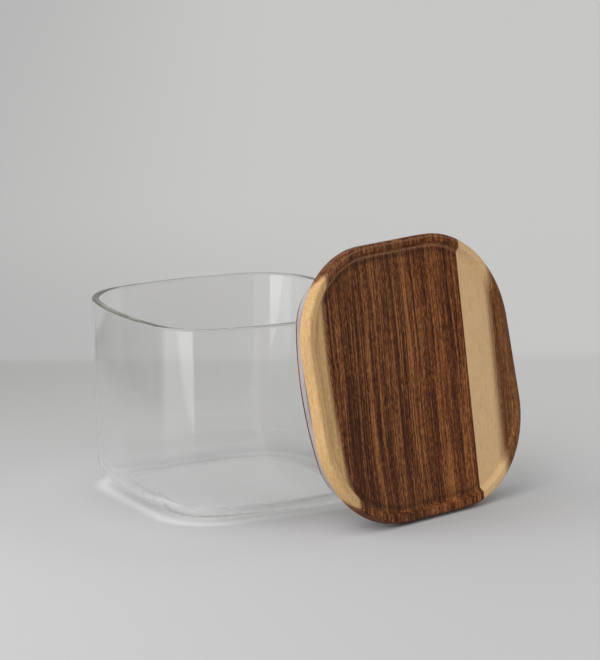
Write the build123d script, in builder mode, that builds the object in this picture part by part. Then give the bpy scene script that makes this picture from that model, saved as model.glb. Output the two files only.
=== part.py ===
from build123d import *
from math import atan, cos, degrees, radians, sin, sqrt
import os

os.makedirs("parts", exist_ok=True)

# Storage jar: a blown square glass jar and the wooden lid taken off it, which leans on the rim.
# Millimetres, +Z up, the origin at the middle of the jar's underside, X and Y along the jar's sides.

# The glass jar
jar_width = 100.0  # across the rim, at the middle of its sides
jar_height = 75.5
side_bow = 7.0  # how far each side swells out, up to where it would meet the next
jar_corner_radius = 26.2
jar_draft = 1.2  # how far each side comes in from the rim down to the base
glass_wall = 3.0
glass_base = 3.2
heel_radius = 13.1  # the outer turn from the side to the base
rim_bevel = 0.8  # softened edges of the rim, kept under half of the wall

# The lid's board, with a shallow tray worked into its top
board_overhang = 2.8  # past the rim of the glass, all round
board_corner_radius = 37.4
board_thickness = 6.0
board_edge_bevel = 0.9
tray_lip = 2.9  # flat border left round the tray
tray_depth = 1.8
tray_slope = 40.0  # lean of the tray's side, in degrees from upright
tray_foot_rounding = 1.4
tray_crest_bevel = 0.4

# The plug under the board, milled from the same wood, with a groove for the seal
plug_clearance = 0.9  # between the plug and the inside of the rim
plug_depth = 10.4
groove_depth = 2.4
groove_height = 6.0
flange_height = 2.2  # wood left below the groove
flange_bevel = 0.7

# The silicone seal: a band in the groove with two lips
seal_squeeze = 0.4  # how much wider than the mouth each side of the seal is
seal_lip_height = 2.4
seal_lip_bevel = 0.45

# The glue line between the two staves of the lid
glue_line_offset = 28.7  # from the middle of the lid, along its width
grain_angle = 4.6  # the grain runs this many degrees off the lid's sides

# How the lid stands beside the jar
lid_lean = 12.6  # back from upright, in degrees
lid_turn = 16.8  # away from the jar's front side, in degrees
lid_shift = 25.3  # its middle from the jar's axis, along its own width
lean_clearance = 0.3  # left between the plug and the rim

bow_radius = ((jar_width / 2 - side_bow) ** 2 + side_bow**2) / (2 * side_bow)
rim_edge = min(rim_bevel, 0.4 * glass_wall)
inner_heel_radius = max(heel_radius - glass_wall, 0.4 * glass_wall)
side_slope = degrees(atan(jar_draft / jar_height))
floor_draft = jar_draft * (1 - glass_base / jar_height)
board_width = jar_width + 2 * board_overhang
board_edge = min(board_edge_bevel, 0.3 * board_thickness)
tray_width = board_width - 2 * tray_lip
groove_start = plug_depth - flange_height - groove_height
plug_inset = glass_wall + plug_clearance
groove_inset = plug_inset + groove_depth
seal_inset = glass_wall - seal_squeeze


def rim_outline(plane, inset):
    """Draw the outline of the jar's rim on a plane, moved in by an inset all round."""
    bow_centre = jar_width / 2 - bow_radius
    corner = (bow_centre + sqrt(2 * (bow_radius - inset) ** 2 - bow_centre**2)) / 2
    with BuildSketch(plane) as outline:
        with BuildLine():
            for turn in range(0, 360, 90):
                points = [(corner, -corner), (jar_width / 2 - inset, 0), (corner, corner)]
                ThreePointArc(*[Vector(point).rotate(Axis.Z, turn) for point in points])
        make_face()
        fillet(outline.vertices(), jar_corner_radius - inset)
    return outline.sketch

def edges_at(part, plane):
    """Find the edges of a part that lie in a plane."""
    def level(edge):
        heights = [plane.to_local_coords(edge @ share).Z for share in (0, 0.5, 1)]
        return max(abs(height) for height in heights) < 0.01

    return part.edges().filter_by(level)


# The space inside the glass, with its own wide turn into the floor
with BuildPart() as jar_inside:
    add(rim_outline(Plane.XY.offset(glass_base), floor_draft + glass_wall))
    extrude(amount=jar_height - glass_base, taper=-side_slope)
    fillet(jar_inside.edges().group_by(Axis.Z)[0], inner_heel_radius)

# The glass: drafted sides, a wide heel, an even wall and a rim with soft edges
with BuildPart() as glass_jar:
    add(rim_outline(Plane.XY, jar_draft))
    extrude(amount=jar_height, taper=-side_slope)
    fillet(glass_jar.edges().group_by(Axis.Z)[0], heel_radius)
    add(jar_inside.part, mode=Mode.SUBTRACT)
    chamfer(glass_jar.edges().group_by(Axis.Z)[-1], rim_edge)
glass_jar.part.label = "glass_jar"
export_step(glass_jar.part, "parts/glass_jar.step")

# The lid stands on the lower edge of its board, with the back of its plug against the rim
lean = radians(lid_lean)
lid_across = Vector(1, 0, 0).rotate(Axis.Z, lid_turn)
lid_heading = Vector(0, -1, 0).rotate(Axis.Z, lid_turn)
lid_outward = lid_heading * cos(lean) + Vector(0, 0, sin(lean))
turned_rim = rim_outline(Plane.XY, 0).rotate(Axis.Z, -lid_turn)
rim_reach = -turned_rim.bounding_box().min.Y
rim_support = rim_reach * cos(lean) + (jar_height - rim_edge) * sin(lean)
lid_distance = rim_support + lean_clearance + plug_depth + board_thickness
lid_rise = board_width / 2 * cos(lean) + (board_thickness - board_edge) * sin(lean)
lid_reach = (lid_distance - lid_rise * sin(lean)) / cos(lean)
lid_centre = lid_across * lid_shift + lid_heading * lid_reach + Vector(0, 0, lid_rise)
lid_top = Plane(origin=lid_centre, x_dir=lid_across, z_dir=lid_outward)
board_back = lid_top.offset(-board_thickness)
groove_plane = board_back.offset(-groove_start)

# The wooden lid before it is cut at the glue line: board, tray, plug and seal groove
with BuildPart() as lid_blank:
    with BuildSketch(lid_top):
        RectangleRounded(board_width, board_width, board_corner_radius)
    extrude(amount=-board_thickness)
    chamfer(edges_at(lid_blank, lid_top) + edges_at(lid_blank, board_back), board_edge)
    with BuildSketch(lid_top):
        RectangleRounded(tray_width, tray_width, board_corner_radius - tray_lip)
    extrude(amount=-tray_depth, taper=tray_slope, mode=Mode.SUBTRACT)
    fillet(edges_at(lid_blank, lid_top.offset(-tray_depth)), tray_foot_rounding)
    lip_face = lid_blank.faces().sort_by(Axis(lid_centre, lid_outward))[-1]
    chamfer(lip_face.inner_wires()[0].edges(), tray_crest_bevel)
    extrude(rim_outline(board_back, plug_inset), amount=-plug_depth)
    chamfer(edges_at(lid_blank, board_back.offset(-plug_depth)), flange_bevel)
    with BuildSketch(groove_plane):
        add(rim_outline(Plane.XY, plug_inset))
        add(rim_outline(Plane.XY, groove_inset), mode=Mode.SUBTRACT)
    extrude(amount=-groove_height, mode=Mode.SUBTRACT)

# The two staves meet at a glue line that follows the grain
grain_turn = Vector(1, 0, 0).rotate(Axis.Z, -grain_angle)
across_grain = lid_across * grain_turn.X + lid_top.y_dir * grain_turn.Y
glue_plane = Plane(origin=lid_centre + lid_across * glue_line_offset, z_dir=across_grain)
with BuildPart() as lid_stave_wide:
    add(lid_blank.part)
    split(bisect_by=glue_plane, keep=Keep.BOTTOM)
lid_stave_wide.part.label = "lid_stave_wide"
export_step(lid_stave_wide.part, "parts/lid_stave_wide.step")

with BuildPart() as lid_stave_narrow:
    add(lid_blank.part)
    split(bisect_by=glue_plane, keep=Keep.TOP)
lid_stave_narrow.part.label = "lid_stave_narrow"
export_step(lid_stave_narrow.part, "parts/lid_stave_narrow.step")

# The seal fills the groove and stands out past the plug in two lips
lip_gap = groove_height - 2 * seal_lip_height
lip_bevel = min(seal_lip_bevel, 0.4 * seal_lip_height)
with BuildPart() as lid_seal:
    with BuildSketch(groove_plane):
        add(rim_outline(Plane.XY, seal_inset))
        add(rim_outline(Plane.XY, groove_inset), mode=Mode.SUBTRACT)
    extrude(amount=-groove_height)
    with BuildSketch(groove_plane.offset(-seal_lip_height)):
        add(rim_outline(Plane.XY, seal_inset))
        add(rim_outline(Plane.XY, plug_inset), mode=Mode.SUBTRACT)
    extrude(amount=-lip_gap, mode=Mode.SUBTRACT)
    lip_flats = lid_seal.faces().filter_by(lid_top)
    chamfer([edge for flat in lip_flats for edge in flat.outer_wire().edges()], lip_bevel)
lid_seal.part.label = "lid_seal"
export_step(lid_seal.part, "parts/lid_seal.step")
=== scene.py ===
"""A square glass storage jar and the wooden lid taken off it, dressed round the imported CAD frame.

Everything is in metres in the frame's own axes. The jar stands on the table with its origin under it,
and the lid leans on the rim. Its staves and its seal are built in the lid's own axes: across the lid,
up the lid and out of its top, from the middle of the board's top face.
"""

import logging
from dataclasses import dataclass
from enum import Enum
from math import acos, atan2, cos, pi, radians, sin, sqrt, tan

import bmesh
import bpy
from mathutils import Matrix, Vector


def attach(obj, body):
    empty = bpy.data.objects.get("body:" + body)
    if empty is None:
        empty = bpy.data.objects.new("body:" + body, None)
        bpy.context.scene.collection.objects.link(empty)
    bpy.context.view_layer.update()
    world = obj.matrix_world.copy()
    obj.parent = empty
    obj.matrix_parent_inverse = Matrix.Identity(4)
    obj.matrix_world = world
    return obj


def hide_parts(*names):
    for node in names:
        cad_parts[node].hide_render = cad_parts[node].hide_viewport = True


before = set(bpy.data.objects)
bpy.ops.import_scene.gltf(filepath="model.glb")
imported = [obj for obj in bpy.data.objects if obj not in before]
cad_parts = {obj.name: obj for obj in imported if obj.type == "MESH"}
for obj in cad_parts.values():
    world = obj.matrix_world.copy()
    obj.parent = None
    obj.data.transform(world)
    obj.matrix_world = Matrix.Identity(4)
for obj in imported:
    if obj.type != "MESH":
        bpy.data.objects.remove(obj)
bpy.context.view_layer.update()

log = logging.getLogger("storage_jar")

MM = 0.001
CORNER_STEPS = 44  # points along each corner of an outline
SIDE_STEPS = 24  # points along each side of an outline
HEEL_STEPS = 20  # steps in each rounding of the jar's profile
EDGE_STEPS = 7  # steps in each rounding of the board's profile
SEAL_STEPS = 5  # steps in each rounding of the seal's profile
SHARP = radians(32)  # edges that turn further than this stay sharp
OWN_PLACE = "own_place"  # where a point lies in its piece's own axes, in millimetres
ON_GLUE_LINE = 1e-7  # a point this near the glue line counts as on it, in metres
SUPPORT = 0.25 * MM  # a loop this far from a rounding keeps the flat beside it flat
SKIN = 0.02 * MM  # how far the glass lies inside the CAD's outline, whose rounds are cut into flats


class Body(Enum):
    """The CAD bodies that pieces ride on."""

    JAR = "jar"
    LID = "lid"


class Slot(Enum):
    """The record's material slots."""

    GLASS = "clear_glass"
    DARK_WOOD = "dark_wood"
    PALE_WOOD = "pale_wood"
    SILICONE = "silicone"


class Side(Enum):
    """The two sides of the lid's glue line."""

    WIDE = "wide"
    NARROW = "narrow"


Ring = list[tuple[float, float]]  # an outline's points, in order
Loop = list[Vector]  # the same points in space
Socket = bpy.types.NodeSocket | float | tuple
Sockets = bpy.types.bpy_prop_collection
Colour = tuple[float, float, float, float]
Tones = tuple[Colour, Colour]  # near and far, or left and right
Reach = tuple[float, float]  # where a fade begins and where it ends


@dataclass(frozen=True)
class Texture:
    """How a noise is spread.

    Attributes:
        scale: how fine it is.
        detail: how many finer layers it has.
        rough: how strong those layers are.
    """

    scale: float
    detail: float
    rough: float


class ShaderGraph:
    """A node tree with short calls that add its nodes and join them."""

    def __init__(self, tree: bpy.types.NodeTree) -> None:
        """Empty the tree and keep it.

        Args:
            tree: the material's or the world's node tree.
        """
        self.tree = tree
        tree.nodes.clear()

    def node(self, kind: str, inputs: dict | None = None, **settings) -> bpy.types.Node:
        """Add a node.

        Args:
            kind: its type name, without the ShaderNode in front.
            inputs: values or sockets for its inputs, by name or by number.
            settings: the node's own settings.

        Returns:
            The new node.
        """
        made = self.tree.nodes.new("ShaderNode" + kind)
        for name, value in settings.items():
            setattr(made, name, value)
        for name, value in (inputs or {}).items():
            self.feed(made.inputs[name], value)
        return made

    def feed(self, socket: bpy.types.NodeSocket, value: Socket) -> None:
        """Join a socket to an input, or set the input to a value.

        Args:
            socket: the input.
            value: the socket or the value.
        """
        if isinstance(value, bpy.types.NodeSocket):
            self.tree.links.new(value, socket)
        else:
            socket.default_value = value

    def math(self, operation: str, *values: Socket, clamp: bool = False) -> bpy.types.NodeSocket:
        """Work out a number.

        Args:
            operation: the Math node's operation.
            values: its one to three inputs.
            clamp: whether the result stays between 0 and 1.

        Returns:
            The result's socket.
        """
        inputs = dict(enumerate(values))
        return self.node("Math", inputs, operation=operation, use_clamp=clamp).outputs[0]

    def vector(self, x: Socket, y: Socket, z: Socket) -> bpy.types.NodeSocket:
        """Make a vector of three numbers.

        Args:
            x: the first number.
            y: the second number.
            z: the third number.

        Returns:
            The vector's socket.
        """
        return self.node("CombineXYZ", {0: x, 1: y, 2: z}).outputs[0]

    def about_middle(self, noise: Socket, reach: float) -> bpy.types.NodeSocket:
        """Move a noise's middle to 0 and stretch it.

        Args:
            noise: the noise, with a middle of 0.5.
            reach: how far its whole range then reaches.

        Returns:
            The result's socket.
        """
        return self.math("MULTIPLY", self.math("SUBTRACT", noise, 0.5), reach)

    def noise(self, at: Socket, texture: Texture) -> bpy.types.NodeSocket:
        """Add a noise with a middle of 0.5.

        Args:
            at: the place where it is read.
            texture: how it is spread.

        Returns:
            The noise's socket.
        """
        inputs = {
            "Vector": at,
            "Scale": texture.scale,
            "Detail": texture.detail,
            "Roughness": texture.rough,
        }
        return self.node("TexNoise", inputs, noise_dimensions="3D").outputs["Fac"]

    def span(
        self, value: Socket, low: float, high: float, start: float = 0.0, end: float = 1.0
    ) -> bpy.types.NodeSocket:
        """Fade smoothly from one number to another while a value goes from low to high.

        Args:
            value: the value.
            low: where the fade begins.
            high: where it ends.
            start: the number up to low.
            end: the number from high on.

        Returns:
            The result's socket.
        """
        inputs = {"Value": value, "From Min": low, "From Max": high, "To Min": start, "To Max": end}
        return self.node("MapRange", inputs, interpolation_type="SMOOTHSTEP").outputs["Result"]

    def inset(self, x: Socket, y: Socket, half: float, corner: float) -> bpy.types.NodeSocket:
        """Work out how far a place lies inside the outline of a square with round corners.

        Args:
            x: its place across.
            y: its place up.
            half: half of the square's width.
            corner: the radius of its corners.

        Returns:
            The distance to the outline, negative outside.
        """
        past = []
        for place in (x, y):
            reach = self.math("SUBTRACT", self.math("ABSOLUTE", place), half - corner)
            past.append(self.math("MAXIMUM", reach, 0.0))
        beyond = self.vector(past[0], past[1], 0.0)
        length = self.node("VectorMath", {0: beyond}, operation="LENGTH")
        return self.math("SUBTRACT", corner, length.outputs["Value"])

    def mix(
        self, share: Socket, first: Socket, second: Socket, way: str = "MIX"
    ) -> bpy.types.NodeSocket:
        """Mix two colours.

        Args:
            share: how much of the second is in the mix.
            first: the first colour.
            second: the second colour.
            way: the mix's blend type.

        Returns:
            The mixed colour's socket.
        """
        made = self.node("Mix", {"Factor": share}, data_type="RGBA", blend_type=way)
        self.feed(made.inputs[6], first)
        self.feed(made.inputs[7], second)
        return made.outputs[2]

    def bump(self, height: Socket, strength: float, depth: float) -> bpy.types.NodeSocket:
        """Turn a height into a normal.

        Args:
            height: the height, from 0 to 1.
            strength: how much of it shows.
            depth: how far 1 stands above 0, in metres.

        Returns:
            The normal's socket.
        """
        return self.node("Bump", {"Strength": strength, "Distance": depth, "Height": height}).outputs[0]


def new_material(name: str) -> tuple[bpy.types.Material, ShaderGraph]:
    """Start a material.

    Args:
        name: its name.

    Returns:
        The material and its empty nodes.
    """
    made = bpy.data.materials.new(name)
    made.use_nodes = True
    return made, ShaderGraph(made.node_tree)


def tone(red: int, green: int, blue: int) -> Colour:
    """Turn a colour of 0 to 255, as a screen shows it, into a shader's linear colour.

    Args:
        red: its red.
        green: its green.
        blue: its blue.

    Returns:
        The linear colour, with an alpha of 1.
    """
    shares = [channel / 255 for channel in (red, green, blue)]
    linear = [s / 12.92 if s <= 0.04045 else ((s + 0.055) / 1.055) ** 2.4 for s in shares]
    return (*linear, 1.0)


@dataclass(frozen=True)
class BowedSquare:
    """A rounded square whose sides swell out, as the jar's rim does.

    Attributes:
        width: its width, across the middle of its sides.
        bow: how far a side swells out, from where the sides would meet.
        corner: the radius of its corners.
    """

    width: float
    bow: float
    corner: float

    def bow_radius(self) -> float:
        """Work out the radius of a side's swell."""
        reach = self.width / 2 - self.bow
        return (reach**2 + self.bow**2) / (2 * self.bow)

    def bow_centre(self) -> float:
        """Work out where the centre of a side's swell lies on the axis."""
        return self.width / 2 - self.bow_radius()

    def corner_centre(self) -> float:
        """Work out both coordinates of a corner's centre."""
        reach = self.bow_radius() - self.corner
        centre = self.bow_centre()
        return (centre + sqrt(2 * reach**2 - centre**2)) / 2

    def ring(self, inset: float) -> Ring:
        """Work out the points of the outline, moved in by an inset.

        Args:
            inset: how far in it lies.

        Returns:
            The points, in order, from the start of the +X side.
        """
        centre, middle = self.corner_centre(), self.bow_centre()
        join = atan2(centre, centre - middle)
        long, short = self.bow_radius() - inset, self.corner - inset
        quarter = []
        for step in range(SIDE_STEPS):
            angle = join * (2 * step / SIDE_STEPS - 1)
            quarter.append((middle + long * cos(angle), long * sin(angle)))
        for step in range(CORNER_STEPS):
            angle = join + (pi / 2 - 2 * join) * step / CORNER_STEPS
            quarter.append((centre + short * cos(angle), centre + short * sin(angle)))
        return four_turns(quarter)


@dataclass(frozen=True)
class RoundSquare:
    """A square with straight sides and round corners, as the lid's board is.

    Attributes:
        width: its width.
        corner: the radius of its corners.
    """

    width: float
    corner: float

    def ring(self, inset: float) -> Ring:
        """Work out the points of the outline, moved in by an inset.

        Args:
            inset: how far in it lies.

        Returns:
            The points, in order, from the start of the +X side.
        """
        half, short = self.width / 2 - inset, self.corner - inset
        centre = self.width / 2 - self.corner
        quarter = [(half, centre * (2 * step / SIDE_STEPS - 1)) for step in range(SIDE_STEPS)]
        for step in range(CORNER_STEPS):
            angle = pi / 2 * step / CORNER_STEPS
            quarter.append((centre + short * cos(angle), centre + short * sin(angle)))
        return four_turns(quarter)


def four_turns(quarter: Ring) -> Ring:
    """Repeat a quarter of an outline round its four sides.

    Args:
        quarter: the points of one side and the corner after it.

    Returns:
        The points of the whole outline.
    """
    whole = list(quarter)
    for _ in range(3):
        quarter = [(-y, x) for x, y in quarter]
        whole += quarter
    return whole


@dataclass(frozen=True)
class Turn:
    """A corner of a profile.

    Attributes:
        inset: how far in it lies.
        height: how high it lies.
        rounding: the radius of its rounding, or 0 where it stays sharp.
    """

    inset: float
    height: float
    rounding: float = 0.0


def rounded_profile(turns: list[Turn], steps: int) -> list[tuple[float, float]]:
    """Round the corners of a profile.

    Args:
        turns: its corners, in order.
        steps: how many steps each rounding has.

    Returns:
        The profile's points as insets and heights, with a loop beside each rounding.
    """
    points = []
    for index, turn in enumerate(turns):
        here = Vector((turn.inset, turn.height))
        if not turn.rounding or index in (0, len(turns) - 1):
            points.append(tuple(here))
            continue
        before = Vector((turns[index - 1].inset, turns[index - 1].height)) - here
        after = Vector((turns[index + 1].inset, turns[index + 1].height)) - here
        room = min(before.length, after.length)
        before.normalize()
        after.normalize()
        half = acos(max(-1.0, min(1.0, before.dot(after)))) / 2
        run = turn.rounding / tan(half)
        centre = here + (before + after).normalized() * (turn.rounding / sin(half))
        first = here + before * run - centre
        last = here + after * run - centre
        if run + SUPPORT < room:
            points.append(tuple(here + before * (run + SUPPORT)))
        sweep = pi - 2 * half
        for step in range(steps + 1):
            share = step / steps
            mixed = first * sin((1 - share) * sweep) + last * sin(share * sweep)
            points.append(tuple(centre + mixed / sin(sweep)))
        if run + SUPPORT < room:
            points.append(tuple(here + after * (run + SUPPORT)))
    return points


def build_skin(name: str, loops: list[Loop], tube: bool = False) -> bpy.types.Object:
    """Build a closed mesh from loops of points, each joined to the next.

    Args:
        name: the piece's name.
        loops: the loops, all with as many points.
        tube: whether the last loop joins the first. If not, both ends are capped.

    Returns:
        The new object, smooth where it is round.
    """
    mesh = bmesh.new()
    rows = [[mesh.verts.new(point) for point in loop] for loop in loops]
    pairs = list(zip(rows, rows[1:]))
    if tube:
        pairs.append((rows[-1], rows[0]))
    for near, far in pairs:
        for index in range(len(near)):
            after = (index + 1) % len(near)
            mesh.faces.new((near[index], near[after], far[after], far[index]))
    if not tube:
        mesh.faces.new(list(reversed(rows[0])))
        mesh.faces.new(rows[-1])
    bmesh.ops.recalc_face_normals(mesh, faces=mesh.faces)
    return finish_mesh(name, mesh)


def finish_mesh(name: str, mesh: bmesh.types.BMesh) -> bpy.types.Object:
    """Turn a built mesh into an object of the scene.

    Args:
        name: the piece's name.
        mesh: the mesh, which is freed.

    Returns:
        The new object.
    """
    data = bpy.data.meshes.new(name)
    mesh.to_mesh(data)
    mesh.free()
    own = data.attributes.new(OWN_PLACE, "FLOAT_VECTOR", "POINT")
    own.data.foreach_set("vector", [part / MM for vertex in data.vertices for part in vertex.co])
    data.shade_smooth()
    data.set_sharp_from_angle(angle=SHARP)
    piece = bpy.data.objects.new(name, data)
    bpy.context.scene.collection.objects.link(piece)
    return piece


def dress(piece: bpy.types.Object, material: bpy.types.Material, body: Body) -> None:
    """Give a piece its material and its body.

    Args:
        piece: the piece.
        material: its material.
        body: the body that it rides on.
    """
    piece.data.materials.append(material)
    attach(piece, body.value)


@dataclass(frozen=True)
class ClearGlass:
    """Clear blown borosilicate glass, faintly green where it is looked through edgewise.

    Attributes:
        bend: its index of refraction.
        tint: the colour that a long way through it leaves.
        density: how fast it takes up light, per metre.
        lamp_tint: what a lamp's light keeps of its colour at each surface.
        ripple: how far its surface swells from blowing.
        ripple_share: how much of the swell shows.
        swell: how the swells are spread, per metre.
        drawn: how fine they are upright, as a share of how fine they are round the jar.
        smear: how the faint smears on it are spread, per metre.
        smeared: the part of that noise in which the haze rises.
        haze: how rough a smear makes it.
    """

    bend: float = 1.474
    tint: Colour = (0.45, 0.6, 0.33, 1.0)
    density: float = 1.7
    lamp_tint: Colour = (0.985, 0.995, 0.985, 1.0)
    ripple: float = 0.012 * MM
    ripple_share: float = 0.25
    swell: Texture = Texture(scale=20.0, detail=1.0, rough=0.3)
    drawn: float = 0.45
    smear: Texture = Texture(scale=160.0, detail=4.0, rough=0.6)
    smeared: Reach = (0.35, 0.8)
    haze: float = 0.018

    def material(self) -> bpy.types.Material:
        """Make the material.

        Returns:
            Glass that lets lamps shine through it.
        """
        made, graph = new_material("clear_glass")
        place = graph.node("TexCoord").outputs["Object"]
        stretch = graph.node("Mapping", {"Vector": place, "Scale": (1.0, 1.0, self.drawn)}).outputs[0]
        swell = graph.noise(stretch, self.swell)
        smear = graph.noise(place, self.smear)
        glass = graph.node(
            "BsdfPrincipled",
            {
                "Base Color": (1.0, 1.0, 1.0, 1.0),
                "Roughness": graph.span(smear, *self.smeared, 0.0, self.haze),
                "IOR": self.bend,
                "Transmission Weight": 1.0,
                "Normal": graph.bump(swell, self.ripple_share, self.ripple),
            },
        )
        clear = graph.node("BsdfTransparent", {"Color": self.lamp_tint})
        lamp = graph.node("LightPath").outputs["Is Shadow Ray"]
        surface = graph.node("MixShader", {0: lamp, 1: glass.outputs[0], 2: clear.outputs[0]})
        inside = graph.node("VolumeAbsorption", {"Color": self.tint, "Density": self.density})
        graph.node("OutputMaterial", {"Surface": surface.outputs[0], "Volume": inside.outputs[0]})
        return made


@dataclass(frozen=True)
class GreySilicone:
    """Soft translucent silicone with a faint lavender cast.

    Attributes:
        colour: its colour.
        clouded: its colour where it is a little darker.
        cloud: how the darker clouds are spread, per metre.
        cloud_edge: the part of that noise in which its colour turns.
        bend: its index of refraction.
        depth: how far light spreads in it.
        spread: how far each of its colours spreads, as a share of that.
        milk: how much of its light comes from inside.
        dust: how the dust on it is spread, per metre.
        dust_edge: the part of that noise in which its roughness turns.
        roughness: how rough it is where it is clean and where it is dusty.
        dust_height: how far the dust stands up.
        dust_share: how much of that shows.
    """

    colour: Colour = tone(172, 167, 171)
    clouded: Colour = tone(160, 155, 159)
    cloud: Texture = Texture(scale=90.0, detail=3.0, rough=0.5)
    cloud_edge: Reach = (0.35, 0.7)
    bend: float = 1.41
    depth: float = 1.2 * MM
    spread: tuple[float, float, float] = (1.0, 0.9, 1.0)
    milk: float = 0.5
    dust: Texture = Texture(scale=1400.0, detail=3.0, rough=0.6)
    dust_edge: Reach = (0.3, 0.7)
    roughness: Reach = (0.42, 0.56)
    dust_height: float = 0.03 * MM
    dust_share: float = 0.25

    def material(self) -> bpy.types.Material:
        """Make the material.

        Returns:
            A milky rubber with a soft sheen and a little dust.
        """
        made, graph = new_material("grey_silicone")
        place = graph.node("TexCoord").outputs["Object"]
        cloud = graph.span(graph.noise(place, self.cloud), *self.cloud_edge)
        dust = graph.noise(place, self.dust)
        shader = graph.node(
            "BsdfPrincipled",
            {
                "Base Color": graph.mix(cloud, self.colour, self.clouded),
                "Roughness": graph.span(dust, *self.dust_edge, *self.roughness),
                "IOR": self.bend,
                "Subsurface Weight": self.milk,
                "Subsurface Radius": self.spread,
                "Subsurface Scale": self.depth,
                "Normal": graph.bump(dust, self.dust_share, self.dust_height),
            },
        )
        graph.node("OutputMaterial", {"Surface": shader.outputs[0]})
        return made


@dataclass(frozen=True)
class Strand(Texture):
    """A noise that is drawn out along the grain.

    Attributes:
        rough: how strong its finer layers are.
        stretch: how fine it is along the grain, as a share of how fine it is across it.
        shade: how strongly it lightens and darkens the heartwood.
        bends: whether it follows the bent grain.
    """

    rough: float = 0.6
    stretch: float = 1.0
    shade: float = 0.0
    bends: bool = True


class Fibre(Enum):
    """The noises that make up the wood, from its broad bands to its pores."""

    BAND = Strand(scale=0.1, stretch=0.05, detail=3.0, shade=0.6)
    STREAK = Strand(scale=0.42, stretch=0.018, detail=3.0, shade=1.5)
    THREAD = Strand(scale=1.7, stretch=0.014, detail=3.0, shade=1.7)
    HAIR = Strand(scale=3.2, stretch=0.009, detail=2.0, shade=1.5)
    PORE = Strand(scale=1.7, stretch=0.11, detail=1.0)
    FLECK = Strand(scale=2.6, stretch=0.2, detail=2.0, shade=1.8, bends=False)
    FIGURE = Strand(scale=0.16, stretch=1.3, detail=3.0, bends=False)


@dataclass(frozen=True)
class Line:
    """A soft line that follows the board's outline, in millimetres.

    Attributes:
        inset: how far inside the outline it lies.
        reach: how far it fades on either side.
        share: how strongly it shows.
    """

    inset: float
    reach: float
    share: float

    def drawn(self, graph: ShaderGraph, inset: Socket) -> Socket:
        """Draw the line.

        Args:
            graph: the material's nodes.
            inset: how far inside the board's outline a place lies.

        Returns:
            How strongly the line shows at each place.
        """
        off = graph.math("ABSOLUTE", graph.math("SUBTRACT", inset, self.inset))
        return graph.span(off, 0.0, self.reach, self.share, 0.0)


@dataclass(frozen=True)
class SapEdge:
    """The border between a stave's sapwood and its heartwood, in millimetres.

    Attributes:
        start: how far across the lid it lies, where its curve turns.
        lean: how far it moves across for each millimetre up the lid.
        curve: how fast it curves, per millimetre.
        turn: how far below the lid's middle its curve turns.
        sink: how far it moves across for each millimetre out of the lid.
        before: where the fade from heartwood begins, from the border.
        after: where that fade ends.
        fray: how far the streaks shift it.
    """

    start: float
    lean: float = 0.0
    curve: float = 0.0
    turn: float = 0.0
    sink: float = 0.0
    before: float = -1.2
    after: float = 1.8
    fray: float = 4.0

    def share(self, graph: ShaderGraph, lid_place: Sockets, streak: Socket) -> Socket:
        """Work out how much of the wood is sapwood at each place.

        Args:
            graph: the material's nodes.
            lid_place: the place across, up and out of the lid.
            streak: the wood's streaks.

        Returns:
            A share from 0 in the heartwood to 1 in the sapwood.
        """
        off = graph.math("ADD", lid_place[1], self.turn)
        edge = graph.math("MULTIPLY_ADD", graph.math("MULTIPLY", off, off), self.curve, self.start)
        edge = graph.math("MULTIPLY_ADD", lid_place[1], self.lean, edge)
        edge = graph.math("MULTIPLY_ADD", lid_place[2], self.sink, edge)
        across = graph.math("ADD", lid_place[0], graph.about_middle(streak, self.fray))
        return graph.span(graph.math("SUBTRACT", edge, across), self.before, self.after)


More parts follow.
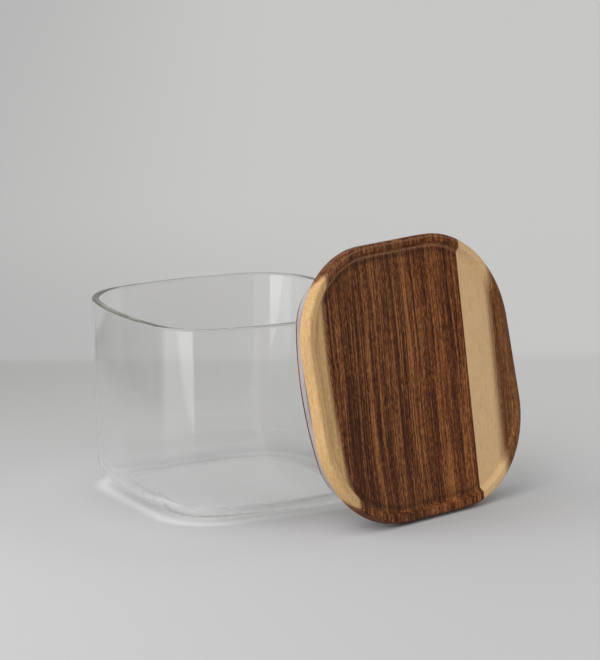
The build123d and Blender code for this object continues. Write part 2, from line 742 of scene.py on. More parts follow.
@dataclass(frozen=True)
class AcaciaWood:
    """Oiled acacia, plain sawn: brown heartwood with pale sapwood at one edge of each stave.

    Places are in millimetres in the lid's own axes, as the shader reads them.

    Attributes:
        name: the material's name.
        grain_angle: how far the grain runs off the lid's sides, in radians.
        sap_edge: where its sapwood begins.
        sap: the sapwood's colour.
        sap_thread: the colour of the sapwood's threads.
        right_cast: what is left of the heartwood's colour towards the right.
        contrast: how strongly the heartwood's fibres show.
        foot: the painted shade, a dark line in the recess at the foot of the tray's side, on heartwood.
        growth_line: how dark the growth line down the heartwood is.
        left_cast: what is left of the heartwood's colour towards the left.
        cast_edge: the reach across the grain from that cast to the other.
        thread_edge: the part of the sapwood's noise in which its colour turns.
        line_across: where the growth line lies.
        line_edge: how far from its middle it begins and is full.
        heart_stops: the heartwood's colours, from its dark fibres to its light ones.
        figure_edge: the part of the figure's noise in which it brightens.
        figure_light: how bright the figure is at either end.
        line_colour: the growth line's colour.
        foot_shade_colour: the colour of the painted shade at the foot of the tray's side.
        tray_highlight: the painted highlight along the top of the tray's side, where it catches the
            light.
        board_edge_highlight: the painted highlight along the board's edge, where it catches the light.
        highlight_colour: the colour of those painted highlights.
        highlight_lean: how far the highlighted corner moves up for each millimetre across.
        highlight_reach_up: the reach up the lid in which those highlights come in.
        highlight_fleck_edge: the part of the flecks' noise in which they turn.
        highlight_least: how much of them shows between the flecks.
        top: the reach out of the lid in which lines along the outline come in.
        pore_edge: the part of the pores' noise in which a pore opens.
        pore_colour: the pores' colour.
        pore_share: how much of that colour a pore has.
        pore_dull: how much rougher a pore is.
        oil_edge: the part of the streaks' noise in which the oil's roughness turns.
        oil: how rough the oiled wood is, from dark streaks to light ones.
        bend: its index of refraction.
        sheen: how strongly it mirrors.
        drift: how far the grain bends.
        drift_noise: how its bends are spread, per millimetre.
        drift_across: how fine they are across the grain, as a share.
        thread_height: how much of the relief the threads have.
        pore_height: how much of the relief the pores have.
        relief: how far the fibres stand up.
        relief_share: how much of that shows.
        board_half: half of the board's width.
        board_corner: the radius of the board's corners.
    """

    name: str
    grain_angle: float
    sap_edge: SapEdge
    sap: Colour
    sap_thread: Colour
    right_cast: Colour
    contrast: float = 1.0
    foot: Line = Line(inset=5.9, reach=1.7, share=0.0)
    growth_line: float = 0.0
    left_cast: Colour = (0.84, 0.76, 0.66, 1.0)
    cast_edge: Reach = (-12.0, 12.0)
    thread_edge: Reach = (0.7, 0.25)
    line_across: float = -8.2
    line_edge: Reach = (1.5, 0.2)
    heart_stops: tuple[tuple[float, Colour], ...] = (
        (0.0, tone(48, 19, 5)),
        (0.32, tone(88, 48, 22)),
        (0.58, tone(114, 67, 34)),
        (1.0, tone(172, 120, 76)),
    )
    figure_edge: Reach = (0.3, 0.75)
    figure_light: Reach = (0.92, 1.08)
    line_colour: Colour = tone(60, 26, 12)
    foot_shade_colour: Colour = tone(44, 20, 9)
    tray_highlight: Line = Line(inset=4.4, reach=0.9, share=0.42)
    board_edge_highlight: Line = Line(inset=1.1, reach=0.7, share=0.34)
    highlight_colour: Colour = tone(186, 142, 104)
    highlight_lean: float = 0.6
    highlight_reach_up: Reach = (12.0, 40.0)
    highlight_fleck_edge: Reach = (0.3, 0.6)
    highlight_least: float = 0.4
    top: Reach = (-2.8, -1.9)
    pore_edge: Reach = (0.38, 0.24)
    pore_colour: Colour = (0.03, 0.012, 0.005, 1.0)
    pore_share: float = 0.22
    pore_dull: float = 0.15
    oil_edge: Reach = (0.3, 0.7)
    oil: Reach = (0.46, 0.56)
    bend: float = 1.45
    sheen: float = 0.2
    drift: float = 4.0
    drift_noise: Texture = Texture(scale=0.016, detail=2.0, rough=0.4)
    drift_across: float = 0.6
    thread_height: float = 0.6
    pore_height: float = 0.7
    relief: float = 0.05 * MM
    relief_share: float = 0.5
    board_half: float = 52.8
    board_corner: float = 37.4

    def material(self) -> bpy.types.Material:
        """Make the material.

        Returns:
            Wood with bands, streaks, pores and fibres along its grain.
        """
        made, graph = new_material(self.name)
        place = graph.node("Attribute", attribute_name=OWN_PLACE).outputs["Vector"]
        lid_place = graph.node("SeparateXYZ", {0: place}).outputs
        across, along = self.grain_axes(graph, lid_place)
        bent = self.bent_grain(graph, across, along, lid_place[2])
        fibres = {}
        for fibre in Fibre:
            start = bent if fibre.value.bends else across
            fibres[fibre] = self.strand(graph, fibre.value, start, along, lid_place[2])
        inset = graph.inset(lid_place[0], lid_place[1], self.board_half, self.board_corner)
        top = graph.span(lid_place[2], *self.top)
        # painted shade: a dark line in the recess at the foot of the tray's side, on heartwood only
        foot = graph.math("MULTIPLY", self.foot.drawn(graph, inset), top)
        heart = graph.mix(foot, self.heartwood(graph, fibres, bent), self.foot_shade_colour)
        sap_share = self.sap_edge.share(graph, lid_place, fibres[Fibre.STREAK])
        colour = graph.mix(sap_share, heart, self.sapwood(graph, fibres))
        # painted highlight: lighter lines where the board's edge and the tray's side catch the light at
        # the upper left
        edge_highlight = graph.math("MULTIPLY", self.painted_edge_highlights(graph, lid_place, fibres, inset), top)
        colour = graph.mix(edge_highlight, colour, self.highlight_colour)
        pore = graph.span(fibres[Fibre.PORE], *self.pore_edge)
        colour = graph.mix(graph.math("MULTIPLY", pore, self.pore_share), colour, self.pore_colour)
        threads = graph.math("MULTIPLY", fibres[Fibre.THREAD], self.thread_height)
        height = graph.math("SUBTRACT", threads, graph.math("MULTIPLY", pore, self.pore_height))
        oil = graph.span(fibres[Fibre.STREAK], *self.oil_edge, *self.oil)
        shader = graph.node(
            "BsdfPrincipled",
            {
                "Base Color": colour,
                "Roughness": graph.math("ADD", oil, graph.math("MULTIPLY", pore, self.pore_dull)),
                "IOR": self.bend,
                "Specular IOR Level": self.sheen,
                "Normal": graph.bump(height, self.relief_share, self.relief),
            },
        )
        graph.node("OutputMaterial", {"Surface": shader.outputs[0]})
        return made

    def strand(
        self, graph: ShaderGraph, kind: Strand, across: Socket, along: Socket, deep: Socket
    ) -> Socket:
        """Add one of the wood's noises.

        Args:
            graph: the material's nodes.
            kind: how it is drawn out.
            across: the place across the grain.
            along: the place along the grain.
            deep: the place out of the lid's top.

        Returns:
            The noise, with a middle of 0.5.
        """
        at = graph.vector(across, graph.math("MULTIPLY", along, kind.stretch), deep)
        return graph.noise(at, kind)

    def grain_axes(self, graph: ShaderGraph, lid_place: Sockets) -> tuple[Socket, Socket]:
        """Turn the lid's axes into those of the grain.

        Args:
            graph: the material's nodes.
            lid_place: the place across, up and out of the lid.

        Returns:
            The place across the grain and the place along it.
        """
        turn, lean = cos(self.grain_angle), sin(self.grain_angle)
        right, up = lid_place[0], lid_place[1]
        across = graph.math("MULTIPLY_ADD", up, -lean, graph.math("MULTIPLY", right, turn))
        along = graph.math("MULTIPLY_ADD", up, turn, graph.math("MULTIPLY", right, lean))
        return across, along

    def bent_grain(self, graph: ShaderGraph, across: Socket, along: Socket, deep: Socket) -> Socket:
        """Bend the grain a little, so that its lines aren't ruled.

        Args:
            graph: the material's nodes.
            across: the place across the grain.
            along: the place along the grain.
            deep: the place out of the lid's top.

        Returns:
            The place across the bent grain.
        """
        at = graph.vector(graph.math("MULTIPLY", across, self.drift_across), along, deep)
        bends = graph.noise(at, self.drift_noise)
        return graph.math("ADD", across, graph.about_middle(bends, self.drift))

    def heartwood(self, graph: ShaderGraph, fibres: dict[Fibre, Socket], bent: Socket) -> Socket:
        """Colour the brown heartwood.

        Args:
            graph: the material's nodes.
            fibres: the wood's noises.
            bent: the place across the bent grain.

        Returns:
            The heartwood's colour.
        """
        shade = 0.5
        for fibre, noise in fibres.items():
            if fibre.value.shade:
                part = graph.about_middle(noise, fibre.value.shade * self.contrast)
                shade = graph.math("ADD", shade, part)
        ramp = graph.node("ValToRGB", {"Fac": shade})
        fill_ramp(ramp, self.heart_stops)
        left = graph.mix(1.0, ramp.outputs[0], self.left_cast, "MULTIPLY")
        right = graph.mix(1.0, ramp.outputs[0], self.right_cast, "MULTIPLY")
        colour = graph.mix(graph.span(bent, *self.cast_edge), left, right)
        figure = graph.span(fibres[Fibre.FIGURE], *self.figure_edge, *self.figure_light)
        colour = graph.mix(1.0, colour, graph.vector(figure, figure, figure), "MULTIPLY")
        off = graph.math("ABSOLUTE", graph.math("SUBTRACT", bent, self.line_across))
        line = graph.span(off, *self.line_edge, 0.0, self.growth_line)
        return graph.mix(line, colour, self.line_colour)

    def sapwood(self, graph: ShaderGraph, fibres: dict[Fibre, Socket]) -> Socket:
        """Colour the pale sapwood.

        Args:
            graph: the material's nodes.
            fibres: the wood's noises.

        Returns:
            The sapwood's colour.
        """
        shade = graph.math("ADD", fibres[Fibre.THREAD], graph.about_middle(fibres[Fibre.FLECK], 1.0))
        return graph.mix(graph.span(shade, *self.thread_edge), self.sap, self.sap_thread)

    def painted_edge_highlights(
        self, graph: ShaderGraph, lid_place: Sockets, fibres: dict[Fibre, Socket], inset: Socket
    ) -> Socket:
        """Work out the painted highlight on the board's top edge and the tray's side, where they catch
        the light at the upper left.

        Args:
            graph: the material's nodes.
            lid_place: the place across, up and out of the lid.
            fibres: the wood's noises.
            inset: how far inside the board's outline a place lies.

        Returns:
            A share from 0 where no highlight is painted to 1 where it is full.
        """
        uneven = graph.span(fibres[Fibre.FLECK], *self.highlight_fleck_edge, self.highlight_least, 1.0)
        slant = graph.math("MULTIPLY_ADD", lid_place[0], -self.highlight_lean, lid_place[1])
        corner = graph.span(slant, *self.highlight_reach_up)
        tray_side = self.tray_highlight.drawn(graph, inset)
        board_edge = self.board_edge_highlight.drawn(graph, inset)
        lines = graph.math("MAXIMUM", tray_side, board_edge)
        return graph.math("MULTIPLY", graph.math("MULTIPLY", lines, corner), uneven)


def stave_wood(side: Side, grain: float) -> AcaciaWood:
    """Choose a stave's wood.

    Args:
        side: which stave.
        grain: how far the grain runs off the lid's sides, in radians.

    Returns:
        The wide stave's wood, with sapwood at the lid's left edge and a redder right half, or the
        narrow one's, with sapwood at the glue line and an even brown edge.
    """
    if side is Side.WIDE:
        return AcaciaWood(
            name="acacia_wide",
            grain_angle=grain,
            sap_edge=SapEdge(start=-42.1, curve=0.0016, turn=6.0, sink=0.7),
            sap=tone(212, 174, 122),
            sap_thread=tone(190, 150, 100),
            right_cast=(0.93, 0.77, 0.6, 1.0),
            # painted shade in the recess at the foot of the tray's side
            foot=Line(inset=5.9, reach=1.7, share=0.4),
            growth_line=0.6,
        )
    return AcaciaWood(
        name="acacia_narrow",
        grain_angle=grain,
        sap_edge=SapEdge(start=42.8, lean=0.085, before=-3.0, after=2.2),
        sap=tone(222, 186, 138),
        sap_thread=tone(213, 175, 126),
        right_cast=(1.15, 1.3, 1.4, 1.0),
        contrast=0.5,
    )


def fill_ramp(ramp: bpy.types.Node, stops: tuple[tuple[float, Colour], ...]) -> None:
    """Set the stops of a colour ramp.

    Args:
        ramp: the ColorRamp node.
        stops: the place and the colour of each stop.
    """
    elements = ramp.color_ramp.elements
    while len(elements) < len(stops):
        elements.new(1.0)
    for element, (place, colour) in zip(elements, stops):
        element.position = place
        element.color = colour


@dataclass
class GlassJar:
    """The open glass jar.

    Attributes:
        rim: the outline of its rim.
        height: its height.
        draft: how far each side comes in from the rim to the base.
        wall: its wall.
        floor: the thickness of its base.
        heel: the outer turn from the sides to the base.
        melt: the rounding of the rim's edges.
        flat: how far the base's last loop lies in from its rounding.
    """

    rim: BowedSquare = BowedSquare(100 * MM, 7.0 * MM, 26.2 * MM)
    height: float = 75.5 * MM
    draft: float = 1.2 * MM
    wall: float = 3.0 * MM
    floor: float = 3.2 * MM
    heel: float = 13.1 * MM
    melt: float = 0.8 * MM
    flat: float = 8 * MM

    def build(self) -> bpy.types.Object:
        """Build the jar as one closed skin of glass.

        Returns:
            The jar.
        """
        middle = self.heel + self.flat
        turns = [
            Turn(middle, 0.0),
            Turn(self.draft, 0.0, self.heel),
            Turn(0.0, self.height, self.melt),
            Turn(self.wall, self.height, self.melt),
            Turn(self.draft + self.wall, self.floor, self.heel - self.wall),
            Turn(middle, self.floor),
        ]
        loops = []
        for inset, height in rounded_profile(turns, HEEL_STEPS):
            loops.append([Vector((x, y, height)) for x, y in self.rim.ring(inset + SKIN)])
        return build_skin("glass_jar_body", loops)

    def make(self) -> bpy.types.Object:
        """Build and dress the jar.

        Returns:
            The jar.
        """
        piece = self.build()
        dress(piece, ClearGlass().material(), Body.JAR)
        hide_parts("glass_jar")
        return piece


@dataclass
class LeaningLid:
    """The wooden lid, its seal and the way it leans on the jar.

    Attributes:
        jar: the jar that it fits.
        overhang: how far the board reaches past the rim.
        corner: the radius of the board's corners.
        thickness: the board's thickness.
        edge: the bevel that the board stands on.
        arris: the rounding of the board's edges.
        lip: the flat border round the tray.
        tray: the tray's depth.
        slope: the lean of the tray's side, in radians from upright.
        foot: the rounding at the foot of the tray's side.
        crest: the rounding at the top of the tray's side.
        clearance: between the plug and the inside of the rim.
        plug: the plug's depth.
        groove: the depth of the seal's groove.
        groove_height: the height of that groove.
        flange: the wood left below the groove.
        flange_edge: the rounding of the plug's lower edge.
        underside: how far in the board's last loop lies under it.
        tray_flat: how far the tray's last loop lies in from its side.
        plug_flat: how far the plug's last loop lies in from its side.
        squeeze: how far the seal is wider than the mouth on each side.
        seal_lip: the height of each of the seal's lips.
        seal_edge: the rounding of the seal's lips.
        glue_line: where the staves meet, from the lid's middle.
        grain: how far the grain runs off the lid's sides, in radians.
        lean: how far the lid leans back, in radians.
        turn: how far it is turned from the jar's front, in radians.
        shift: how far its middle lies from the jar's axis along its own width.
        gap: between the plug and the rim.
        rim_bevel: how far the rim's soft edge starts below its top, where the lid leans.
    """

    jar: GlassJar
    overhang: float = 2.8 * MM
    corner: float = 37.4 * MM
    thickness: float = 6.0 * MM
    edge: float = 0.9 * MM
    arris: float = 1.1 * MM
    lip: float = 2.9 * MM
    tray: float = 1.8 * MM
    slope: float = radians(40.0)
    foot: float = 1.4 * MM
    crest: float = 0.4 * MM
    clearance: float = 0.9 * MM
    plug: float = 10.4 * MM
    groove: float = 2.4 * MM
    groove_height: float = 6.0 * MM
    flange: float = 2.2 * MM
    flange_edge: float = 0.7 * MM
    underside: float = 2.42 * MM
    tray_flat: float = 10 * MM
    plug_flat: float = 9 * MM
    squeeze: float = 0.4 * MM
    seal_lip: float = 2.4 * MM
    seal_edge: float = 0.45 * MM
    glue_line: float = 28.7 * MM
    grain: float = radians(4.6)
    lean: float = radians(12.6)
    turn: float = radians(16.8)
    shift: float = 25.3 * MM
    gap: float = 0.3 * MM
    rim_bevel: float = 0.8 * MM

    def board(self) -> RoundSquare:
        """Work out the board's outline."""
        return RoundSquare(self.jar.rim.width + 2 * self.overhang, self.corner)

    def groove_start(self) -> float:
        """Work out how far below the board the groove begins."""
        return self.plug - self.flange - self.groove_height

    def place(self) -> Matrix:
        """Work out where the lid leans.

        Returns:
            The matrix from the lid's own axes to the frame's.
        """
        across = Vector((cos(self.turn), sin(self.turn), 0.0))
        heading = Vector((sin(self.turn), -cos(self.turn), 0.0))
        outward = heading * cos(self.lean) + Vector((0.0, 0.0, sin(self.lean)))
        rim = self.jar.rim
        reach = rim.corner_centre() * (sin(self.turn) + cos(self.turn)) + rim.corner
        support = reach * cos(self.lean) + (self.jar.height - self.rim_bevel) * sin(self.lean)
        distance = support + self.gap + self.plug + self.thickness
        half = self.board().width / 2
        rise = half * cos(self.lean) + (self.thickness - self.edge) * sin(self.lean)
        out = (distance - rise * sin(self.lean)) / cos(self.lean)
        centre = across * self.shift + heading * out + Vector((0.0, 0.0, rise))
        axes = Matrix((across, outward.cross(across), outward)).transposed()
        return Matrix.Translation(centre) @ axes.to_4x4()

    def wood_loops(self) -> list[Loop]:
        """Work out the loops of the wooden lid, from the middle of its tray round to its underside.

        Returns:
            The loops, in the lid's own axes.
        """
        run = self.tray * tan(self.slope)
        board_turns = [
            Turn(self.lip + run + self.tray_flat, -self.tray),
            Turn(self.lip + run, -self.tray, self.foot),
            Turn(self.lip, 0.0, self.crest),
            Turn(0.0, 0.0, self.arris),
            Turn(0.0, -self.thickness, self.arris),
            Turn(self.underside, -self.thickness),
        ]
        top = self.jar.wall + self.clearance
        under = self.thickness + self.groove_start()
        plug_turns = [
            Turn(top, -self.thickness),
            Turn(top, -under),
            Turn(top + self.groove, -under),
            Turn(top + self.groove, -under - self.groove_height),
            Turn(top, -under - self.groove_height),
            Turn(top, -self.thickness - self.plug, self.flange_edge),
            Turn(top + self.plug_flat, -self.thickness - self.plug),
        ]
        loops = []
        for outline, turns in ((self.board(), board_turns), (self.jar.rim, plug_turns)):
            for inset, height in rounded_profile(turns, EDGE_STEPS):
                loops.append([Vector((x, y, height)) for x, y in outline.ring(inset)])
        return loops

    def stave(self, side: Side) -> bpy.types.Object:
        """Build one stave by cutting the lid at its glue line.

        Args:
            side: which stave.

        Returns:
            The stave, where it leans.
        """
        whole = build_skin(f"acacia_stave_{side.value}", self.wood_loops())
        mesh = bmesh.new()
        mesh.from_mesh(whole.data)
        bpy.data.objects.remove(whole)
        cut = bmesh.ops.bisect_plane(
            mesh,
            geom=[*mesh.verts, *mesh.edges, *mesh.faces],
            dist=ON_GLUE_LINE,
            plane_co=(self.glue_line, 0.0, 0.0),
            plane_no=(cos(self.grain), -sin(self.grain), 0.0),
            clear_outer=side is Side.WIDE,
            clear_inner=side is Side.NARROW,
        )
        edges = [item for item in cut["geom_cut"] if isinstance(item, bmesh.types.BMEdge)]
        filled = bmesh.ops.holes_fill(mesh, edges=edges, sides=0)
        bmesh.ops.triangulate(mesh, faces=filled["faces"], ngon_method="EAR_CLIP")
        bmesh.ops.recalc_face_normals(mesh, faces=mesh.faces)
        piece = finish_mesh(f"acacia_stave_{side.value}", mesh)
        piece.data.transform(self.place())
        return piece

    def seal(self) -> bpy.types.Object:
        """Build the silicone seal: a band in the groove, with two lips.

        Returns:
            The seal, where it leans.
        """
        plug_inset = self.jar.wall + self.clearance
        inner = plug_inset + self.groove
        outer = self.jar.wall - self.squeeze
        start = -self.thickness - self.groove_start()
        end = start - self.groove_height
        turns = [
            Turn(inner, start),
            Turn(outer, start, self.seal_edge),
            Turn(outer, start - self.seal_lip, self.seal_edge),
            Turn(plug_inset, start - self.seal_lip),
            Turn(plug_inset, end + self.seal_lip),
            Turn(outer, end + self.seal_lip, self.seal_edge),
            Turn(outer, end, self.seal_edge),
            Turn(inner, end),
        ]
        loops = []
        for inset, height in rounded_profile(turns, SEAL_STEPS):
            loops.append([Vector((x, y, height)) for x, y in self.jar.rim.ring(inset)])
        piece = build_skin("silicone_seal", loops, tube=True)
        piece.data.transform(self.place())
        return piece

    def make(self) -> list[bpy.types.Object]:
        """Build and dress the lid's pieces.

        Returns:
            The two staves and the seal.
        """
        wide, narrow, seal = self.stave(Side.WIDE), self.stave(Side.NARROW), self.seal()
        dress(wide, stave_wood(Side.WIDE, self.grain).material(), Body.LID)
        dress(narrow, stave_wood(Side.NARROW, self.grain).material(), Body.LID)
        dress(seal, GreySilicone().material(), Body.LID)
        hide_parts("lid_stave_wide")
        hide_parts("lid_stave_narrow")
        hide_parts("lid_seal")
        return [wide, narrow, seal]


@dataclass(frozen=True)
class Viewpoint:
    """The camera, standing where the photograph was taken from.

    Attributes:
        eye: where it stands.
        down: how far it looks down, in radians.
        heading: how far it is turned from the jar's front, in radians.
        tilt: how far it is rolled, in radians.
        focal: its focal length, in millimetres.
        film: the width of its film, in millimetres.
        nearest: the nearest that it sees.
        farthest: the farthest that it sees.
    """

    eye: tuple[float, float, float] = (-658.8 * MM, -1357.6 * MM, 386.7 * MM)
    down: float = radians(12.095)
    heading: float = radians(26.86)
    tilt: float = radians(-0.584)
    focal: float = 239.2
    film: float = 36.0
    nearest: float = 0.05
    farthest: float = 30.0

    def make(self) -> bpy.types.Object:
        """Set the camera up.

        Returns:
            The camera.
        """
        data = bpy.data.cameras.new("camera")
        data.sensor_fit = "HORIZONTAL"
        data.sensor_width = self.film
        data.lens = self.focal
        data.clip_start = self.nearest
        data.clip_end = self.farthest
        camera = bpy.data.objects.new("camera", data)
        camera.location = self.eye
        aim = Matrix.Rotation(-self.heading, 3, "Z") @ Matrix.Rotation(pi / 2 - self.down, 3, "X")
        camera.rotation_euler = (aim @ Matrix.Rotation(self.tilt, 3, "Z")).to_euler()
        bpy.context.scene.collection.objects.link(camera)
        bpy.context.scene.camera = camera
        return camera


@dataclass(frozen=True)
class Backdrop:
    """A table that runs back into a wall: one flat sheet, with its tones laid on it by place.

    Places on it are in metres, to the right of the viewpoint and away from it.

    Attributes:
        viewpoint: where it is seen from.
        half: half of the sheet's width.
        cells: how many faces it has along each side.
        drop: how far it lies under the jar.
        wall: how far away the table's tone turns into the wall's.
        blur: how soft that border is.
        table_away: the reach from the table's near tones to its far ones.
        table_aside: the reach from the table's left tones to its right ones.
        table_left: the table's near and far tone at the left.
        table_right: the table's near and far tone at the right.
        wall_away: the reach from the wall's low tones to its high ones.
        low_aside: the reach from the low wall's left tone to its right one.
        high_aside: the reach from the high wall's left tone to its right one.
        wall_low: the wall's left and right tone just over the table.
        wall_high: the wall's left and right tone further up.
        beside: the reach to the dimmer table on either side of the view.
        beside_shade: how bright the table is there.
        left: the reach to the dimmer patch left of the view.
        left_back: the reach where that patch begins.
        left_wall: the reach back to full light, at the wall.
        left_dimmed: how much light that patch lacks.
        front: the reach from the dimmer table before the view.
        front_shade: how bright the table is there.
        roughness: how rough the table is.
        jar_half: half of the jar's width, whose light the table gathers.
        jar_corner: the radius of the jar's corners.
        around: the reach of the light round the jar, from its outline inward.
        around_gain: how much brighter the table is there.
        heel: the reach of the light under the jar's heel.
        heel_gain: how much brighter the table is there.
        base: the reach of the light under the jar's base.
        base_gain: how much brighter the table is there.
    """

    viewpoint: Viewpoint
    half: float = 6.0
    cells: int = 8
    drop: float = 0.2 * MM
    wall: float = 1.745
    blur: float = 0.012
    table_away: Reach = (1.38, 1.76)
    table_aside: Reach = (-0.17, 0.1)
    # painted shading: the table's tones darken far back, most of all at the left, as the light falls
    # off
    table_left: Tones = (tone(205, 205, 207), tone(168, 168, 166))
    table_right: Tones = (tone(194, 194, 195), tone(187, 188, 186))
    wall_away: Reach = (1.76, 2.15)
    low_aside: Reach = (-0.16, 0.09)
    high_aside: Reach = (-0.24, -0.01)
    # painted shading: the wall's tones are darker at its left
    wall_low: Tones = (tone(178, 178, 178), tone(194, 194, 193))
    wall_high: Tones = (tone(180, 180, 180), tone(195, 195, 194))
    beside: Reach = (0.28, 0.7)
    beside_shade: float = 0.55
    left: Reach = (-0.18, -0.25)
    left_back: Reach = (1.43, 1.5)
    left_wall: Reach = (1.76, 1.74)
    left_dimmed: float = 0.4
    front: Reach = (1.0, 1.25)
    front_shade: float = 0.7
    roughness: float = 0.8
    jar_half: float = 50 * MM
    jar_corner: float = 26 * MM
    around: Reach = (-45 * MM, -6 * MM)
    around_gain: float = 0.07
    heel: Reach = (1 * MM, 7 * MM)
    heel_gain: float = 0.4
    base: Reach = (9 * MM, 16 * MM)
    base_gain: float = 0.62

    def make(self) -> bpy.types.Object:
        """Lay the sheet, a shade under the jar, and paint it.

        Returns:
            The table, with the wall's tone behind it.
        """
        mesh = bmesh.new()
        bmesh.ops.create_grid(mesh, x_segments=self.cells, y_segments=self.cells, size=self.half)
        table = finish_mesh("table", mesh)
        table.location = (self.viewpoint.eye[0], self.viewpoint.eye[1], -self.drop)
        table.rotation_euler = (0.0, 0.0, -self.viewpoint.heading)
        made, graph = new_material("table_and_wall")
        place = graph.node("TexCoord").outputs["Object"]
        spot = graph.node("SeparateXYZ", {0: place}).outputs
        behind = graph.span(spot[1], self.wall - self.blur, self.wall + self.blur)
        colour = graph.mix(behind, self.table_tone(graph, spot), self.wall_tone(graph, spot))
        light = graph.math("MULTIPLY", self.shade(graph, spot), self.gathered(graph))
        colour = graph.mix(1.0, colour, graph.vector(light, light, light), "MULTIPLY")
        inputs = {"Base Color": colour, "Roughness": self.roughness, "Specular IOR Level": 0.0}
        graph.node("OutputMaterial", {"Surface": graph.node("BsdfPrincipled", inputs).outputs[0]})
        table.data.materials.append(made)
        return table

    def table_tone(self, graph: ShaderGraph, spot: Sockets) -> Socket:
        """Work out the table's tone, with the light's falloff painted in.

        Args:
            graph: the sheet's nodes.
            spot: the place on the sheet.

        Returns:
            Its colour at each place.
        """
        away = graph.span(spot[1], *self.table_away)
        aside = graph.span(spot[0], *self.table_aside)
        return graph.mix(aside, graph.mix(away, *self.table_left), graph.mix(away, *self.table_right))

    def wall_tone(self, graph: ShaderGraph, spot: Sockets) -> Socket:
        """Work out the wall's tone, with its shading painted in.

        Args:
            graph: the sheet's nodes.
            spot: the place on the sheet.

        Returns:
            Its colour at each place.
        """
        low = graph.mix(graph.span(spot[0], *self.low_aside), *self.wall_low)
        high = graph.mix(graph.span(spot[0], *self.high_aside), *self.wall_high)
        return graph.mix(graph.span(spot[1], *self.wall_away), low, high)

    def shade(self, graph: ShaderGraph, spot: Sockets) -> Socket:
        """Work out how bright the table is beside, before and behind the photographed part of it.

        Args:
            graph: the sheet's nodes.
            spot: the place on the sheet.

        Returns:
            A factor, 1 in full light.
        """
        beside = graph.span(graph.math("ABSOLUTE", spot[0]), *self.beside, 1.0, self.beside_shade)
        front = graph.span(spot[1], *self.front, self.front_shade, 1.0)
        patch = graph.span(spot[0], *self.left)
        for reach in (self.left_back, self.left_wall):
            patch = graph.math("MULTIPLY", patch, graph.span(spot[1], *reach))
        left = graph.math("MULTIPLY_ADD", patch, -self.left_dimmed, 1.0)
        return graph.math("MULTIPLY", graph.math("MULTIPLY", beside, left), front)

    def gathered(self, graph: ShaderGraph) -> Socket:
        """Work out how much brighter the table is where the jar gathers the daylight.

        Args:
            graph: the sheet's nodes.

        Returns:
            A factor, 1 away from the jar.
        """
        place = graph.node("NewGeometry").outputs["Position"]
        spot = graph.node("SeparateXYZ", {0: place}).outputs
        inset = graph.inset(spot[0], spot[1], self.jar_half, self.jar_corner)
        around = graph.span(inset, *self.around, 0.0, self.around_gain)
        heel = graph.span(inset, *self.heel, 0.0, self.heel_gain)
        base = graph.span(inset, *self.base, 0.0, self.base_gain)
        return graph.math("ADD", graph.math("ADD", around, heel), graph.math("ADD", base, 1.0))


@dataclass(frozen=True)
class Gleam:
    """A bright patch of the table that only shows in the glass.

    The glass mirrors it as a gleam. A view that looks through the jar towards it sees it as it is,
    as a white shape with hard edges, which the photographed view doesn't.

    Attributes:
        name: its name.
        corners: where its corners lie.
        height: how high it floats over the table.
        near: how bright it is beside the jar.
        far: how bright it is away from the jar.
        reach: the distances from the jar's axis between which it brightens.
    """

    name: str
    corners: tuple[tuple[float, float], ...]
    height: float
    near: float
    far: float
    reach: Reach = (0.1, 0.37)

    def make(self) -> bpy.types.Object:
        """Lay the patch.

        Returns:
            The patch.
        """
        mesh = bmesh.new()
        mesh.faces.new([mesh.verts.new((x, y, self.height)) for x, y in self.corners])
        patch = finish_mesh(self.name, mesh)
        made, graph = new_material(self.name)
        place = graph.node("TexCoord").outputs["Object"]
        distance = graph.node("VectorMath", {0: place}, operation="LENGTH").outputs["Value"]
        strength = graph.span(distance, *self.reach, self.near, self.far)
        light = graph.node("Emission", {"Color": (1.0, 1.0, 1.0, 1.0), "Strength": strength})
        graph.node("OutputMaterial", {"Surface": light.outputs[0]})
        patch.data.materials.append(made)
        patch.visible_camera = False
        patch.visible_diffuse = False
        patch.visible_shadow = False
        return patch


@dataclass(frozen=True)
class Daylight:
    """Wide, soft daylight from a window at the left.

    Attributes:
        side: how far to the left it comes from, in radians from the jar's front.
        rise: how high it comes from, in radians.
        width: how wide it is, in radians.
        strength: how strong it is.
        colour: its colour.
    """

    side: float = radians(82)
    rise: float = radians(33)
    width: float = radians(80)
    strength: float = 2.2
    colour: tuple[float, float, float] = (1.0, 0.992, 0.985)

    def toward(self) -> Vector:
        """Work out the direction that it comes from."""
        level = cos(self.rise)
        return Vector((-sin(self.side) * level, -cos(self.side) * level, sin(self.rise)))

    def make(self) -> bpy.types.Object:
        """Set the light up, so that the glass mirrors only its gleams.

        Returns:
            The light.
        """
        data = bpy.data.lights.new("window", "SUN")
        data.energy = self.strength
        data.angle = self.width
        data.color = self.colour
        window = bpy.data.objects.new("window", data)
        window.rotation_euler = self.toward().to_track_quat("Z", "Y").to_euler()
        window.visible_glossy = False
        window.visible_transmission = False
        bpy.context.scene.collection.objects.link(window)
        return window


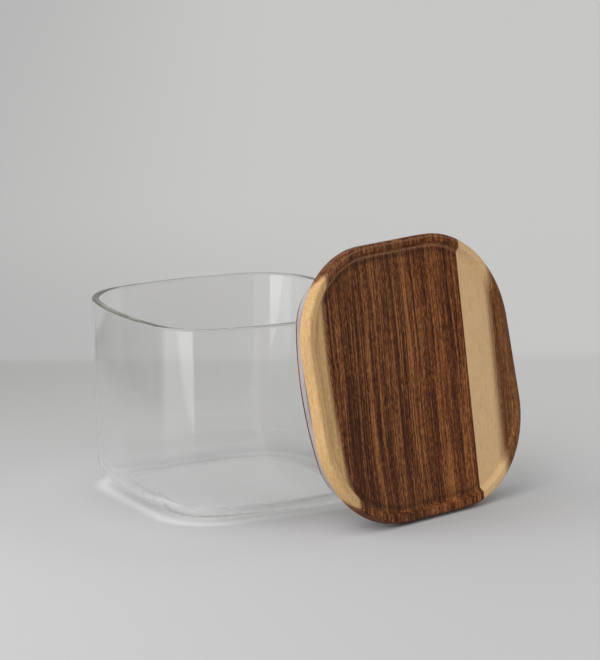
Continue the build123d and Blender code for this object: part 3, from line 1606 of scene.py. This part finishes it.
@dataclass(frozen=True)
class Room:
    """The even light of the room, a little dimmer towards the right.

    Attributes:
        daylight: the window's light, which glows through the glass.
        aside: the reach from the room's left to its right, as shares of a direction.
        left: how bright its left is.
        right: how bright its right is.
        up: the reach from its walls to its ceiling, as shares of a direction.
        wall_mirrored: how bright the glass mirrors its walls.
        ceiling_mirrored: how bright the glass mirrors its ceiling.
        right_mirrored: what is left of that at the right.
        facing: the reach to the middle of the window's glow.
        glow: how bright the window glows through the glass.
    """

    daylight: Daylight
    aside: Reach = (-0.8, 0.8)
    left: float = 0.68
    right: float = 0.64
    up: Reach = (0.1, 0.8)
    wall_mirrored: float = 0.62
    ceiling_mirrored: float = 0.44
    right_mirrored: float = 0.75
    facing: Reach = (0.2, 1.0)
    glow: float = 1.1

    def make(self) -> None:
        """Light the room."""
        world = bpy.data.worlds.new("room")
        bpy.context.scene.world = world
        world.use_nodes = True
        graph = ShaderGraph(world.node_tree)
        toward = graph.node("TexCoord").outputs["Generated"]
        parts = graph.node("SeparateXYZ", {0: toward}).outputs
        path = graph.node("LightPath").outputs
        window = {0: toward, 1: self.daylight.toward()}
        facing = graph.node("VectorMath", window, operation="DOT_PRODUCT").outputs["Value"]
        glow = graph.span(facing, *self.facing, 0.0, self.glow)
        lit = graph.span(parts[0], *self.aside, self.left, self.right)
        lit = graph.math("MULTIPLY_ADD", glow, path["Is Transmission Ray"], lit)
        height = graph.span(parts[2], *self.up, self.wall_mirrored, self.ceiling_mirrored)
        side = graph.span(parts[0], *self.aside, 1.0, self.right_mirrored)
        seen = graph.math("MULTIPLY", height, side)
        mirrored = path["Is Glossy Ray"]
        shade = graph.mix(mirrored, graph.vector(lit, lit, lit), graph.vector(seen, seen, seen))
        back = graph.node("Background", {"Color": shade, "Strength": 1.0})
        graph.node("OutputWorld", {"Surface": back.outputs[0]})


@dataclass(frozen=True)
class Studio:
    """The table, the light and the camera.

    Attributes:
        viewpoint: the camera.
        daylight: the window's light.
        streak: the bright streak of daylight that the glass mirrors.
        pool: the fainter, wider patch round that streak.
        bounces: how often light may bend and bounce in the glass.
        clear_bounces: how many surfaces a lamp's light may pass.
    """

    viewpoint: Viewpoint = Viewpoint()
    daylight: Daylight = Daylight()
    streak: Gleam = Gleam(
        name="daylight_streak",
        corners=((-0.134, -0.12), (-0.34, -0.095), (-1.1, 0.0), (-0.736, -0.608)),
        height=0.6 * MM,
        near=1.4,
        far=3.0,
    )
    pool: Gleam = Gleam(
        name="daylight_pool",
        corners=((-0.097, -0.091), (-0.124, 0.008), (-1.0, 0.22), (-0.736, -0.608)),
        height=0.4 * MM,
        near=0.8,
        far=1.75,
    )
    bounces: int = 128
    clear_bounces: int = 64

    def make(self) -> None:
        """Set the whole studio up."""
        scene = bpy.context.scene
        scene.view_settings.view_transform = "Standard"
        scene.cycles.max_bounces = self.bounces
        scene.cycles.glossy_bounces = self.bounces
        scene.cycles.transmission_bounces = self.bounces
        scene.cycles.transparent_max_bounces = self.clear_bounces
        Backdrop(self.viewpoint).make()
        Room(self.daylight).make()
        self.daylight.make()
        self.streak.make()
        self.pool.make()
        self.viewpoint.make()


def main() -> None:
    """Build the jar, its lid and the studio, in that order."""
    logging.basicConfig(level=logging.INFO, format="%(name)s: %(message)s")
    jar = GlassJar()
    pieces = [jar.make(), *LeaningLid(jar).make()]
    for piece in pieces:
        log.info("built %s with %d faces", piece.name, len(piece.data.polygons))
    Studio().make()


if __name__ == "__main__":
    main()
